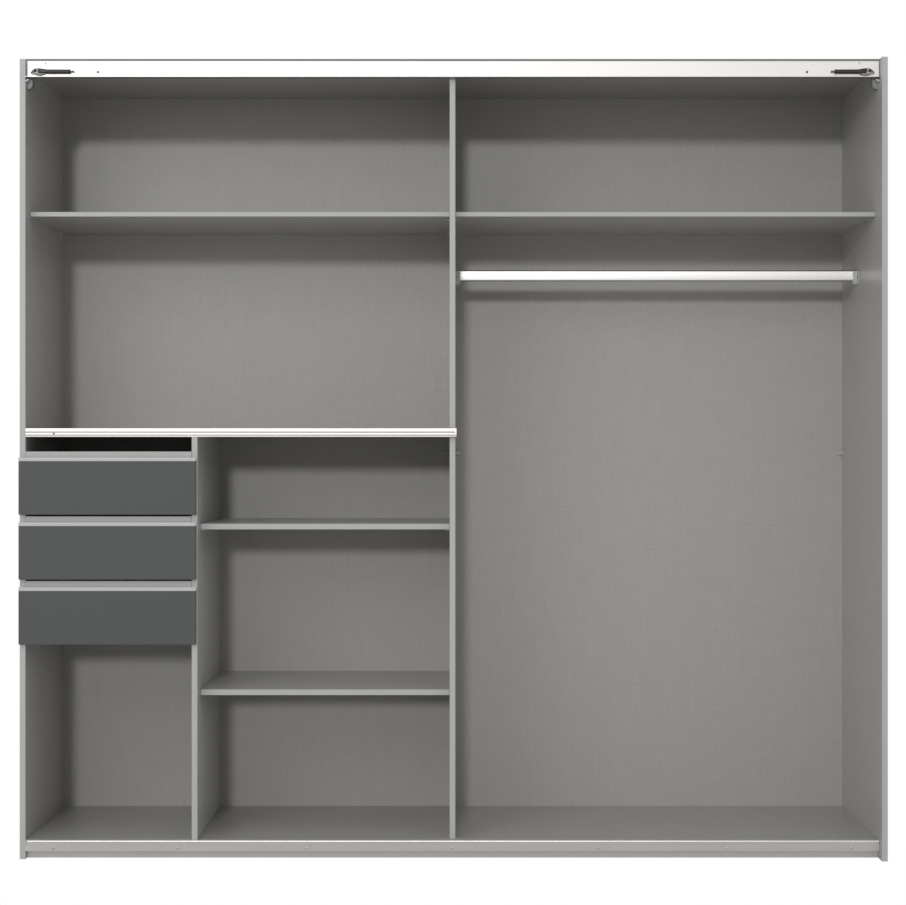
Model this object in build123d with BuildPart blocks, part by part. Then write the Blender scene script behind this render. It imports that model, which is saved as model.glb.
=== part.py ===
from build123d import *
import os

# Sliding door wardrobe, modelled with its two doors lifted off, so that the whole inside shows.
# +Z is up and the open front faces -Y. The origin is on the floor under the middle of the
# wardrobe's box. All sizes are in millimetres.

# Carcass
WIDTH = 2250.0
HEIGHT = 2080.0
DEPTH = 593.0
DOOR_STEP = 33.0          # the right side panel stands this far in front, as the front door's stop
BOARD = 15.0
EASE = 0.5                # bevel on a board's edges
OUTER = WIDTH / 2
INNER = OUTER - BOARD
REAR = DEPTH / 2
FRONT = DOOR_STEP - REAR  # plane of the carcass's front edges
CEILING = HEIGHT - BOARD
FLOOR_TOP = 50.0
FLOOR_UNDER = FLOOR_TOP - BOARD

# Back panels, held in a groove 10 mm in from the rear edges
BACK_THICK = 3.0
BACK_FACE = REAR - 10.0
GROOVE_DEPTH = 7.0
GROOVE_PLAY = 0.1
PANEL_PLAY = 1.0

# Plinth and battens
PLINTH_FACE = FRONT + 22.0
BATTEN = 18.0
LOWER_BATTEN_UNDER = 21.0
SUPPORT_PLACES = (-555.0, 0.0, 555.0)

# Partitions and shelves
PARTITION_FACE = FRONT + BATTEN
DRAWER_PARTITION = (-678.0, -663.0)
MIDDLE_UNDER = 1099.5
MIDDLE_THICK = 18.0
UPPER_UNDER = 1676.5
UPPER_THICK = 12.0
BAY_SHELVES = {"upper": 855.0, "lower": 420.0}
SHELF_SET_BACK = 57.0
SHELF_PLAY = 0.5

# Aluminium profiles
RAIL_END = 1103.5
RAIL_FOOT = (-1111.5, 1109.5)
RAIL_WEB = 2.5
RAIL_LIP = 6.0
TOP_RAIL = (2032.0, 2074.0)
GUIDE_RAIL = (21.0, 49.0)
CAP_PROFILE = (1097.3, 1120.0)
CAP_END = 10.4
CAP_WEB = 2.2
CAP_FLANGE = 17.5
CAP_GROOVES = (1101.2, 1109.0)
CAP_GROOVE_DEPTH = 1.3
CAP_GROOVE_HIGH = 1.8

# Clothes rail
TUBE_HIGH = 30.0
TUBE_WIDE = 15.0
TUBE_WALL = 1.5
TUBE_CORNER = 4.0
TUBE_MIDDLE = (53.0, 1541.5)
SOCKET_LONG = 13.0
SOCKET_WALL = 2.5
SOCKET_Z = (1517.0, 1552.0)
FLANGE = 2.0
FLANGE_SIZE = (60.0, 39.0)
FLANGE_MIDDLE = (TUBE_MIDDLE[0], 1536.5)
FLANGE_SCREW = 21.0

# Drawers
DRAWER_NAMES = ("upper", "middle", "lower")
DRAWER_TOP = 1059.5
DRAWER_PITCH = 168.3
DRAWER_HIGH = 162.0
DRAWER_BAY = (-INNER, DRAWER_PARTITION[0])
DRAWER_PLAY = 0.5         # between the drawer and the carcass
FRONT_THICK = 16.0
FRONT_END = -666.0        # the fronts' right end
FRONT_DROP = 15.5         # from the box's top down to the front's top
FRONT_HIGH = 148.2
GRIP_HIGH = 9.5
GRIP_WALL = 2.5
SIDE_THICK = 12.0
SIDE_HIGH = 118.0
SIDE_RISE = 8.0
BOX_REAR = 240.0
BOTTOM_RISE = 18.0
BOTTOM_GROOVE = 5.0
RUNNER_SPACE = 13.0
RUNNER_STEEL = 1.5
RUNNER_RISE = 30.0
RUNNER_HIGH = 44.0
RUNNER_LONG = (-245.0, 235.0)

# Soft-close dampers on the top rail
DAMPER_Y = -271.9
DAMPER_Z = 2046.0
DAMPER_R = 5.25
DAMPER_START = 991.5
DAMPER_NECK = 4.0         # bare rod between the cylinder and the rod's tip
DAMPER_TIP = 5.5
DAMPER_WEDGE = (1053.0, 1075.0)
ROD_R = 1.5
ROD_PLAY = 0.05
TIP_R = 2.3
PIN_PLACE = (1083.0, 2048.0)
PIN_R = 2.25
HEAD_FRONT = -271.0
LEVER_FRONT = -274.4
LEVER_GAP = 0.4

os.makedirs("parts", exist_ok=True)


def middle(limits):
    """The middle of a pair of limits."""
    return (limits[0] + limits[1]) / 2


def length(limits):
    """The distance between a pair of limits."""
    return limits[1] - limits[0]


def mirrored(limits, side):
    """A pair of limits on the right, or its mirror on the left where side is -1."""
    return tuple(sorted((limits[0] * side, limits[1] * side)))


def block(x, y, z, mode=Mode.ADD):
    """Adds to, or cuts from, the part being built the block between two limits on each axis."""
    with Locations((middle(x), middle(y), middle(z))):
        Box(length(x), length(y), length(z), mode=mode)


def save(piece, label):
    """Names a finished piece and writes its STEP file."""
    piece.part.label = label
    export_step(piece.part, f"parts/{label}.step")


def board(label, x, y, z, grooves=(), fittings=()):
    """A flat board with eased edges, milled grooves and holes for its fittings."""
    with BuildPart() as piece:
        with BuildSketch(Plane.XY.offset(z[0])):
            with Locations((middle(x), middle(y))):
                Rectangle(length(x), length(y))
        extrude(amount=length(z))
        chamfer(piece.edges(), EASE)
        for groove in grooves:
            block(*groove, mode=Mode.SUBTRACT)
        for fitting in fittings:
            add(fitting.part, mode=Mode.SUBTRACT)
    save(piece, label)
    return piece


# ---------------------------------------------------------------- fittings


def screw(point, outward, head, shank, reach):
    """A screw with a raised head on the point and a cross slot; its shank runs inwards."""
    seat = Plane(origin=point, z_dir=outward)
    with Locations(seat):
        Cone(head / 2, head * 0.36, 1.6, align=(Align.CENTER, Align.CENTER, Align.MIN))
        Cylinder(shank / 2, reach, align=(Align.CENTER, Align.CENTER, Align.MAX))
    with Locations(seat.offset(1.2)):
        Box(head * 0.5, 0.9, 0.8, mode=Mode.SUBTRACT)
        Box(0.9, head * 0.5, 0.8, mode=Mode.SUBTRACT)


RAIL_FACE = FRONT - RAIL_WEB
BRACKET_WIDE = 15.0
BRACKET_Y = (PARTITION_FACE, PARTITION_FACE + 28.0)
BRACKET_UNDER = 2004.0
TONGUE_LONG = 9.0
TONGUE_REACH = 3.0        # in front of the carcass edges
TONGUE_OUTER = (2020.5, 2024.5)
TONGUE_INNER = (2025.0, 2028.5)
BRACKET_SCREW = (PARTITION_FACE + 16.0, 2036.0)

with BuildPart() as screws:
    for side in (-1, 1):
        screw((921.0 * side, RAIL_FACE, 2045.6), (0, -1, 0), 6.5, 3.5, 18.0)
        screw((1057.0 * side, RAIL_FACE, 2068.7), (0, -1, 0), 4.5, 2.5, 16.0)
        bracket_face = (INNER - BRACKET_WIDE) * side
        screw((bracket_face, *BRACKET_SCREW), (-side, 0, 0), 6.5, 3.5, 25.0)
    for place in (-1037.0, -714.0, -379.0, 0.0, 379.0, 714.0, 1037.0):
        screw((place, RAIL_FACE, 29.0), (0, -1, 0), 6.5, 3.5, 18.0)
    screw((-1036.0, FRONT, 1106.0), (0, -1, 0), 5.0, 3.0, 20.0)
    for shift in (-FLANGE_SCREW, FLANGE_SCREW):
        flange_y, flange_z = FLANGE_MIDDLE
        screw((BOARD / 2 + FLANGE, flange_y + shift, flange_z), (1, 0, 0), 6.5, 3.5, 9.0)
        screw((INNER - FLANGE, flange_y + shift, flange_z), (-1, 0, 0), 6.5, 3.5, 12.0)
save(screws, "screws")

# Shelf pins: a 5 mm stub in the board and a small block under the shelf.
PIN_STUB = 6.0
PIN_BLOCK = 9.0
PIN_DEPTHS = (-150.0, 230.0)
shelf_ends = [
    (-INNER, 1, UPPER_UNDER),
    (-BOARD / 2, -1, UPPER_UNDER),
    (BOARD / 2, 1, UPPER_UNDER),
    (INNER, -1, UPPER_UNDER),
]
for under in BAY_SHELVES.values():
    shelf_ends.append((DRAWER_PARTITION[1], 1, under))
    shelf_ends.append((-BOARD / 2, -1, under))

with BuildPart() as shelf_pins:
    for face, way, under in shelf_ends:
        for depth in PIN_DEPTHS:
            with Locations(Plane(origin=(face, depth, under - 3.0), z_dir=(way, 0, 0))):
                Cylinder(2.5, PIN_STUB, align=(Align.CENTER, Align.CENTER, Align.MAX))
                Cylinder(3.0, PIN_BLOCK, align=(Align.CENTER, Align.CENTER, Align.MIN))
            tongue = tuple(sorted((face, face + way * PIN_BLOCK)))
            block(tongue, (depth - 4.0, depth + 4.0), (under - 2.0, under))
save(shelf_pins, "shelf_pins")

# Cam connectors: a disc let into the underside of a board's end, and its bolt.
CAM_R = 7.5
CAM_INSET = 34.0
CAM_BOLT_R = 3.0
CAM_BITE = 10.0
CAM_DEPTHS = (-180.0, 230.0)
cam_ends = [
    (-INNER, 1, MIDDLE_UNDER, MIDDLE_THICK),
    (-BOARD / 2, -1, MIDDLE_UNDER, MIDDLE_THICK),
    (-INNER, 1, CEILING, BOARD),
    (INNER, -1, CEILING, BOARD),
    (-INNER, 1, FLOOR_UNDER, BOARD),
    (INNER, -1, FLOOR_UNDER, BOARD),
]

with BuildPart() as cam_connectors:
    for end, way, under, thick in cam_ends:
        for depth in CAM_DEPTHS:
            with Locations((end + way * CAM_INSET, depth, under)):
                Cylinder(CAM_R, thick - 3.0, align=(Align.CENTER, Align.CENTER, Align.MIN))
            with Locations(Plane(origin=(end, depth, under + thick / 2), z_dir=(way, 0, 0))):
                Cylinder(CAM_BOLT_R, CAM_INSET, align=(Align.CENTER, Align.CENTER, Align.MIN))
                Cylinder(CAM_BOLT_R, CAM_BITE, align=(Align.CENTER, Align.CENTER, Align.MAX))
save(cam_connectors, "cam_connectors")

# ---------------------------------------------------------------- carcass

back_groove = (BACK_FACE - GROOVE_PLAY, BACK_FACE + BACK_THICK + GROOVE_PLAY)
for name, side, front in (("left", -1, FRONT), ("right", 1, -REAR)):
    board(
        f"side_panel_{name}",
        mirrored((INNER, OUTER), side),
        (front, REAR),
        (0.0, HEIGHT),
        grooves=[(mirrored((INNER - 1.0, INNER + GROOVE_DEPTH), side), back_groove, (-1.0, HEIGHT + 1.0))],
        fittings=[screws, shelf_pins, cam_connectors],
    )

board(
    "top_panel",
    (-INNER, INNER),
    (FRONT, REAR),
    (CEILING, HEIGHT),
    grooves=[((-OUTER, OUTER), back_groove, (CEILING - 1.0, CEILING + GROOVE_DEPTH))],
    fittings=[screws, cam_connectors],
)
board(
    "floor_panel",
    (-INNER, INNER),
    (FRONT, REAR),
    (FLOOR_UNDER, FLOOR_TOP),
    grooves=[((-OUTER, OUTER), back_groove, (FLOOR_TOP - GROOVE_DEPTH, FLOOR_TOP + 1.0))],
    fittings=[cam_connectors],
)
board(
    "top_front_batten",
    (-INNER, INNER),
    (FRONT, PARTITION_FACE),
    (TOP_RAIL[0], CEILING),
    fittings=[screws],
)
board(
    "bottom_front_batten",
    (-INNER, INNER),
    (FRONT, PLINTH_FACE),
    (LOWER_BATTEN_UNDER, FLOOR_UNDER),
    fittings=[screws],
)

PLINTH_REAR = (REAR - 36.5, REAR - 21.5)
board("plinth_front", (-INNER, INNER), (PLINTH_FACE, PLINTH_FACE + BOARD), (0.0, FLOOR_UNDER))
board("plinth_rear", (-INNER, INNER), PLINTH_REAR, (0.0, FLOOR_UNDER))
with BuildPart() as plinth_supports:
    for place in SUPPORT_PLACES:
        block(
            (place - BOARD / 2, place + BOARD / 2),
            (PLINTH_FACE + BOARD, PLINTH_REAR[0]),
            (0.0, FLOOR_UNDER),
        )
save(plinth_supports, "plinth_supports")

# The back is two thin panels, joined behind the centre partition by an H profile.
JOINER_WALL = 1.5
JOINER_FRONT = BACK_FACE - JOINER_WALL
board(
    "centre_partition",
    (-BOARD / 2, BOARD / 2),
    (PARTITION_FACE, JOINER_FRONT),
    (FLOOR_TOP, CEILING),
    fittings=[screws, shelf_pins, cam_connectors],
)
board(
    "drawer_partition",
    DRAWER_PARTITION,
    (FRONT, BACK_FACE),
    (FLOOR_TOP, MIDDLE_UNDER),
    grooves=[
        ((-OUTER, 0.0), (FRONT - 1.0, FRONT + CAP_FLANGE), (CAP_PROFILE[0], MIDDLE_UNDER + 1.0)),
    ],
    fittings=[shelf_pins],
)

with BuildPart() as back_panel_joiner:
    with BuildSketch(Plane.XY.offset(FLOOR_TOP + SHELF_PLAY)):
        with Locations((0.0, BACK_FACE - JOINER_WALL / 2)):
            Rectangle(14.0, JOINER_WALL)
        with Locations((0.0, BACK_FACE + BACK_THICK / 2)):
            Rectangle(JOINER_WALL, BACK_THICK)
        with Locations((0.0, BACK_FACE + BACK_THICK + JOINER_WALL / 2)):
            Rectangle(20.0, JOINER_WALL)
    extrude(amount=CEILING - FLOOR_TOP - 2 * SHELF_PLAY)
save(back_panel_joiner, "back_panel_joiner")

for name, side in (("left", -1), ("right", 1)):
    with BuildPart() as back_panel:
        block(
            mirrored((JOINER_WALL, INNER + GROOVE_DEPTH - PANEL_PLAY), side),
            (BACK_FACE, BACK_FACE + BACK_THICK),
            (FLOOR_TOP - GROOVE_DEPTH + SHELF_PLAY, CEILING + GROOVE_DEPTH - SHELF_PLAY),
        )
    save(back_panel, f"back_panel_{name}")

# Small angle clips hold the back panels to the boards at half height.
CLIP_LEG = 16.0
CLIP_Z = (1051.0, 1060.0)
with BuildPart() as back_panel_clips:
    for wall, way in ((-INNER, 1), (-BOARD / 2, -1), (BOARD / 2, 1), (INNER, -1)):
        with BuildSketch(Plane.XY.offset(CLIP_Z[0])):
            with BuildLine():
                Polyline(
                    (wall, BACK_FACE),
                    (wall + way * CLIP_LEG, BACK_FACE),
                    (wall + way * CLIP_LEG, BACK_FACE - 3.0),
                    (wall + way * 3.0, BACK_FACE - CLIP_LEG),
                    (wall, BACK_FACE - CLIP_LEG),
                    close=True,
                )
            make_face()
        extrude(amount=length(CLIP_Z))
save(back_panel_clips, "back_panel_clips")

# ---------------------------------------------------------------- shelves

shelf_depth = (FRONT + SHELF_SET_BACK, BACK_FACE - SHELF_PLAY)
board(
    "middle_shelf",
    (-INNER, -BOARD / 2),
    (FRONT + CAP_WEB, BACK_FACE),
    (MIDDLE_UNDER, MIDDLE_UNDER + MIDDLE_THICK),
    fittings=[screws, cam_connectors],
)
for name, side in (("left", -1), ("right", 1)):
    board(
        f"upper_shelf_{name}",
        mirrored((BOARD / 2 + SHELF_PLAY, INNER - SHELF_PLAY), side),
        shelf_depth,
        (UPPER_UNDER, UPPER_UNDER + UPPER_THICK),
    )
for name, under in BAY_SHELVES.items():
    board(
        f"bay_shelf_{name}",
        (DRAWER_PARTITION[1] + SHELF_PLAY, -BOARD / 2 - SHELF_PLAY),
        shelf_depth,
        (under, under + BOARD),
    )

# ---------------------------------------------------------------- aluminium profiles


# A cap on the middle shelf's front edge: a grooved face with two flanges behind it.
with BuildPart() as middle_shelf_profile:
    with BuildSketch(Plane.YZ.offset(-INNER)):
        with BuildLine():
            Polyline(
                (FRONT, CAP_PROFILE[0]),
                (FRONT + CAP_FLANGE, CAP_PROFILE[0]),
                (FRONT + CAP_FLANGE, MIDDLE_UNDER),
                (FRONT + CAP_WEB, MIDDLE_UNDER),
                (FRONT + CAP_WEB, MIDDLE_UNDER + MIDDLE_THICK),
                (FRONT + CAP_FLANGE, MIDDLE_UNDER + MIDDLE_THICK),
                (FRONT + CAP_FLANGE, CAP_PROFILE[1]),
                (FRONT, CAP_PROFILE[1]),
                close=True,
            )
        make_face()
        for rise in CAP_GROOVES:
            with Locations((FRONT, rise)):
                Rectangle(2 * CAP_GROOVE_DEPTH, CAP_GROOVE_HIGH, mode=Mode.SUBTRACT)
    extrude(amount=INNER + CAP_END)
    add(screws.part, mode=Mode.SUBTRACT)
save(middle_shelf_profile, "middle_shelf_profile")

# The door rail's flat web has a low ledge along its foot, on which the door fittings run. The
# ledge is a little longer than the web.
with BuildPart() as top_door_rail:
    with BuildSketch(Plane.YZ.offset(RAIL_FOOT[0])):
        with BuildLine():
            Polyline(
                (FRONT, TOP_RAIL[0]),
                (FRONT, TOP_RAIL[1]),
                (RAIL_FACE, TOP_RAIL[1]),
                (RAIL_FACE, TOP_RAIL[0] + 1.6),
                (RAIL_FACE - RAIL_LIP, TOP_RAIL[0] + 1.6),
                (RAIL_FACE - RAIL_LIP, TOP_RAIL[0]),
                close=True,
            )
        make_face()
    extrude(amount=length(RAIL_FOOT))
    for web_end in ((RAIL_FOOT[0] - 1.0, -RAIL_END), (RAIL_END, RAIL_FOOT[1] + 1.0)):
        block(
            web_end,
            (RAIL_FACE - 1.0, FRONT + 1.0),
            (TOP_RAIL[0] + 1.6, TOP_RAIL[1] + 1.0),
            mode=Mode.SUBTRACT,
        )
    add(screws.part, mode=Mode.SUBTRACT)
save(top_door_rail, "top_door_rail")

# The lower guide has its ledge at the top, and is screwed on below it.
with BuildPart() as bottom_guide_rail:
    with BuildSketch(Plane.YZ.offset(-RAIL_END)):
        with BuildLine():
            Polyline(
                (FRONT, GUIDE_RAIL[0]),
                (FRONT, GUIDE_RAIL[1]),
                (RAIL_FACE - 3.0, GUIDE_RAIL[1]),
                (RAIL_FACE - 3.0, GUIDE_RAIL[1] - 1.6),
                (RAIL_FACE, GUIDE_RAIL[1] - 1.6),
                (RAIL_FACE, GUIDE_RAIL[0]),
                close=True,
            )
        make_face()
    extrude(amount=2 * RAIL_END)
    add(screws.part, mode=Mode.SUBTRACT)
save(bottom_guide_rail, "bottom_guide_rail")

# Moulded corner blocks tie the top panel and its batten to the side panels. A tongue of each
# reaches forward under the door rail's foot, aslant.
with BuildPart() as corner_brackets:
    for side in (-1, 1):
        wall = INNER * side
        inside = (INNER - BRACKET_WIDE) * side
        with BuildSketch(Plane.XZ.offset(-BRACKET_Y[0])):
            with BuildLine():
                Line((wall, CEILING), (inside, CEILING))
                Line((inside, CEILING), (inside, BRACKET_UNDER + BRACKET_WIDE))
                RadiusArc(
                    (inside, BRACKET_UNDER + BRACKET_WIDE),
                    (wall, BRACKET_UNDER),
                    BRACKET_WIDE * side,
                )
                Line((wall, BRACKET_UNDER), (wall, CEILING))
            make_face()
        extrude(amount=-length(BRACKET_Y))
        with BuildSketch(Plane.XZ.offset(TONGUE_REACH - FRONT)):
            with BuildLine():
                Polyline(
                    (wall, TONGUE_OUTER[0]),
                    (wall, TONGUE_OUTER[1]),
                    (wall - TONGUE_LONG * side, TONGUE_INNER[1]),
                    (wall - TONGUE_LONG * side, TONGUE_INNER[0]),
                    close=True,
                )
            make_face()
        extrude(amount=-(TONGUE_REACH + BRACKET_Y[0] - FRONT))
    add(screws.part, mode=Mode.SUBTRACT)
save(corner_brackets, "corner_brackets")

# ---------------------------------------------------------------- clothes rail

with BuildPart() as clothes_rail:
    with BuildSketch(Plane.YZ.offset(BOARD / 2 + FLANGE)):
        with Locations(TUBE_MIDDLE):
            RectangleRounded(TUBE_WIDE, TUBE_HIGH, TUBE_CORNER)
            RectangleRounded(
                TUBE_WIDE - 2 * TUBE_WALL,
                TUBE_HIGH - 2 * TUBE_WALL,
                TUBE_CORNER - TUBE_WALL,
                mode=Mode.SUBTRACT,
            )
    extrude(amount=INNER - BOARD / 2 - 2 * FLANGE)
save(clothes_rail, "clothes_rail")

# The tube lies in a U-shaped socket at each end, open at the top, on an oval flange.
with BuildPart() as rail_sockets:
    cradle_r = TUBE_WIDE / 2 + SOCKET_WALL
    cradle_y = (TUBE_MIDDLE[0] - cradle_r, TUBE_MIDDLE[0] + cradle_r)
    for wall, way in ((BOARD / 2, 1), (INNER, -1)):
        with BuildSketch(Plane.YZ.offset(wall)):
            with Locations(FLANGE_MIDDLE):
                SlotOverall(*FLANGE_SIZE)
        extrude(amount=way * FLANGE)
        with BuildSketch(Plane.YZ.offset(wall + way * FLANGE)):
            with Locations((TUBE_MIDDLE[0], SOCKET_Z[0] + cradle_r)):
                Circle(cradle_r)
            with Locations((TUBE_MIDDLE[0], (SOCKET_Z[0] + cradle_r + SOCKET_Z[1]) / 2)):
                Rectangle(length(cradle_y), length(SOCKET_Z) - cradle_r)
            with Locations(TUBE_MIDDLE):
                RectangleRounded(TUBE_WIDE, TUBE_HIGH, TUBE_CORNER, mode=Mode.SUBTRACT)
            with Locations((TUBE_MIDDLE[0], SOCKET_Z[1])):
                Rectangle(TUBE_WIDE, 2 * (SOCKET_Z[1] - TUBE_MIDDLE[1]), mode=Mode.SUBTRACT)
        extrude(amount=way * (SOCKET_LONG - FLANGE))
    add(screws.part, mode=Mode.SUBTRACT)
save(rail_sockets, "rail_sockets")

# ---------------------------------------------------------------- drawers

# Each runner is a steel channel on the carcass with a narrower channel on the drawer inside it.
bay_walls = ((DRAWER_BAY[0], 1), (DRAWER_BAY[1], -1))
with BuildPart() as cabinet_runners:
    for number in range(len(DRAWER_NAMES)):
        base = DRAWER_TOP - number * DRAWER_PITCH - DRAWER_HIGH
        low = base + RUNNER_RISE
        for wall, way in bay_walls:
            outer_x = tuple(sorted((wall, wall + way * 11.0)))
            inner_x = tuple(sorted((wall + way * RUNNER_STEEL, wall + way * 12.0)))
            block(outer_x, RUNNER_LONG, (low, low + RUNNER_HIGH))
            block(
                inner_x,
                (RUNNER_LONG[0] - 1.0, RUNNER_LONG[1] + 1.0),
                (low + RUNNER_STEEL, low + RUNNER_HIGH - RUNNER_STEEL),
                mode=Mode.SUBTRACT,
            )
save(cabinet_runners, "cabinet_runners")


def drawer(name, top):
    """One drawer: its front, grip edge, box, bottom and the runners fixed to its sides."""
    base = top - DRAWER_HIGH
    face = FRONT - DRAWER_PLAY
    front_top = top - FRONT_DROP
    front_x = (-OUTER, FRONT_END)
    front_y = (face - FRONT_THICK, face)
    grip_z = (front_top - GRIP_HIGH, front_top)
    box_inner = face + BOARD
    side_z = (base + SIDE_RISE, base + SIDE_RISE + SIDE_HIGH)
    bottom_z = (base + BOTTOM_RISE, base + BOTTOM_RISE + BACK_THICK)
    bottom_groove = (bottom_z[0] - GROOVE_PLAY, bottom_z[1] + GROOVE_PLAY)
    side_x = (DRAWER_BAY[0] + RUNNER_SPACE, DRAWER_BAY[1] - RUNNER_SPACE)
    clear_x = (side_x[0] + SIDE_THICK, side_x[1] - SIDE_THICK)

    board(f"drawer_{name}_front", front_x, front_y, (front_top - FRONT_HIGH, grip_z[0]))

    # The grip is a U-shaped edge profile: fingers reach down behind its front wall.
    with BuildPart() as grip:
        block(front_x, front_y, grip_z)
        chamfer(grip.edges().group_by(Axis.Y)[0], EASE)
        block(
            (front_x[0] - 1.0, front_x[1] + 1.0),
            (front_y[0] + GRIP_WALL, front_y[1] - GRIP_WALL / 2),
            (grip_z[0] + GRIP_WALL, grip_z[1] + 1.0),
            mode=Mode.SUBTRACT,
        )
    save(grip, f"drawer_{name}_grip")

    board(
        f"drawer_{name}_box_front",
        (DRAWER_BAY[0] + DRAWER_PLAY, DRAWER_BAY[1] - DRAWER_PLAY),
        (face, box_inner),
        (base, top),
        grooves=[((-INNER, 0.0), (box_inner - BOTTOM_GROOVE - GROOVE_PLAY, box_inner + 1.0), bottom_groove)],
    )

    with BuildPart() as box_sides:
        for outside, way in ((side_x[0], 1), (side_x[1], -1)):
            side_limits = tuple(sorted((outside, outside + way * SIDE_THICK)))
            groove_limits = tuple(
                sorted((outside + way * (SIDE_THICK - BOTTOM_GROOVE - GROOVE_PLAY), outside + way * 13.0))
            )
            block(side_limits, (box_inner, BOX_REAR), side_z)
            block(groove_limits, (box_inner - 1.0, BOX_REAR + 1.0), bottom_groove, mode=Mode.SUBTRACT)
    save(box_sides, f"drawer_{name}_box_sides")

    board(
        f"drawer_{name}_box_back",
        clear_x,
        (BOX_REAR - SIDE_THICK, BOX_REAR),
        (bottom_z[1], side_z[1]),
    )

    with BuildPart() as box_bottom:
        block(
            (clear_x[0] - BOTTOM_GROOVE, clear_x[1] + BOTTOM_GROOVE),
            (box_inner - BOTTOM_GROOVE, BOX_REAR),
            bottom_z,
        )
    save(box_bottom, f"drawer_{name}_box_bottom")

    low = base + RUNNER_RISE + RUNNER_STEEL + 0.5
    high = base + RUNNER_RISE + RUNNER_HIGH - RUNNER_STEEL - 0.5
    with BuildPart() as runners:
        for outside, way in ((side_x[0], -1), (side_x[1], 1)):
            member = tuple(sorted((outside, outside + way * 10.5)))
            hollow = tuple(sorted((outside + way * RUNNER_STEEL, outside + way * 11.0)))
            block(member, (RUNNER_LONG[0] + 2.0, RUNNER_LONG[1] - 5.0), (low, high))
            block(
                hollow,
                (RUNNER_LONG[0], RUNNER_LONG[1]),
                (low + RUNNER_STEEL, high - RUNNER_STEEL),
                mode=Mode.SUBTRACT,
            )
    save(runners, f"drawer_{name}_runners")


for number, name in enumerate(DRAWER_NAMES):
    drawer(name, DRAWER_TOP - number * DRAWER_PITCH)

# ---------------------------------------------------------------- soft-close dampers

# One pin through each damper's head, on which its catch lever turns.
with BuildPart() as damper_pins:
    for side in (-1, 1):
        with BuildSketch(Plane.XZ.offset(-RAIL_FACE)):
            with Locations((PIN_PLACE[0] * side, PIN_PLACE[1])):
                Circle(PIN_R)
        extrude(amount=RAIL_FACE - LEVER_FRONT + 0.6)
save(damper_pins, "damper_pins")


def damper(name, side):
    """One damper on the rail's face: cylinder, piston rod, head with its spring lip, and lever."""

    def at(x, z):
        return (x * side, z)

    wedge_start, wedge_end = DAMPER_WEDGE
    toward_middle = Plane(origin=(DAMPER_START * side, DAMPER_Y, DAMPER_Z), z_dir=(-side, 0, 0))

    with BuildPart() as cylinder:
        with BuildSketch(toward_middle):
            Circle(DAMPER_R)
        extrude(amount=-(wedge_start - DAMPER_START))
        chamfer(cylinder.edges(), 0.8)
        with BuildSketch(Plane.XZ.offset(-DAMPER_Y - DAMPER_R)):
            with BuildLine():
                Polyline(
                    at(wedge_start - 1.0, DAMPER_Z - DAMPER_R + 1.0),
                    at(wedge_start - 1.0, DAMPER_Z + DAMPER_R - 1.0),
                    at(wedge_start + 10.0, DAMPER_Z + 7.0),
                    at(wedge_end, DAMPER_Z + 8.0),
                    at(wedge_end, DAMPER_Z - 5.4),
                    close=True,
                )
            make_face()
        extrude(amount=2 * DAMPER_R)
        with BuildSketch(toward_middle.offset(1.0)):
            Circle(ROD_R + ROD_PLAY)
        extrude(amount=-62.0, mode=Mode.SUBTRACT)
    save(cylinder, f"damper_cylinder_{name}")

    with BuildPart() as rod:
        with BuildSketch(toward_middle.offset(DAMPER_NECK)):
            Circle(ROD_R)
        extrude(amount=-60.0)
        with BuildSketch(toward_middle.offset(DAMPER_NECK)):
            Circle(TIP_R)
        extrude(amount=DAMPER_TIP)
        chamfer(rod.edges().filter_by(GeomType.CIRCLE).sort_by(Axis.X)[0 if side > 0 else -1], 0.8)
    save(rod, f"damper_rod_{name}")

    with BuildPart() as head:
        with BuildSketch(Plane.XZ.offset(-RAIL_FACE)):
            with BuildLine():
                ThreePointArc(at(1052.0, 2041.5), at(1070.0, 2036.4), at(1090.0, 2039.6))
                Line(at(1090.0, 2039.6), at(1093.0, 2042.0))
                ThreePointArc(at(1093.0, 2042.0), at(1088.5, 2052.0), at(1078.0, 2055.5))
                Line(at(1078.0, 2055.5), at(1062.0, 2053.8))
                Line(at(1062.0, 2053.8), at(1052.0, 2050.8))
                Line(at(1052.0, 2050.8), at(1052.0, 2041.5))
            make_face()
        extrude(amount=RAIL_FACE - HEAD_FRONT)
        add(cylinder.part, mode=Mode.SUBTRACT)
        add(damper_pins.part, mode=Mode.SUBTRACT)
    save(head, f"damper_head_{name}")

    with BuildPart() as lever:
        with BuildSketch(Plane.XZ.offset(LEVER_GAP - HEAD_FRONT)):
            with Locations(at(*PIN_PLACE)):
                Circle(4.6)
            with BuildLine():
                Polyline(
                    at(1084.0, 2052.4),
                    at(1091.0, 2048.0),
                    at(1095.0, 2042.6),
                    at(1094.2, 2039.8),
                    at(1091.2, 2040.4),
                    at(1091.4, 2043.4),
                    at(1082.0, 2043.6),
                    close=True,
                )
            make_face()
            with Locations(at(*PIN_PLACE)):
                Circle(PIN_R + ROD_PLAY, mode=Mode.SUBTRACT)
        extrude(amount=HEAD_FRONT - LEVER_GAP - LEVER_FRONT)
    save(lever, f"catch_lever_{name}")


for name, side in (("left", -1), ("right", 1)):
    damper(name, side)
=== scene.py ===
import math

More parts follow.
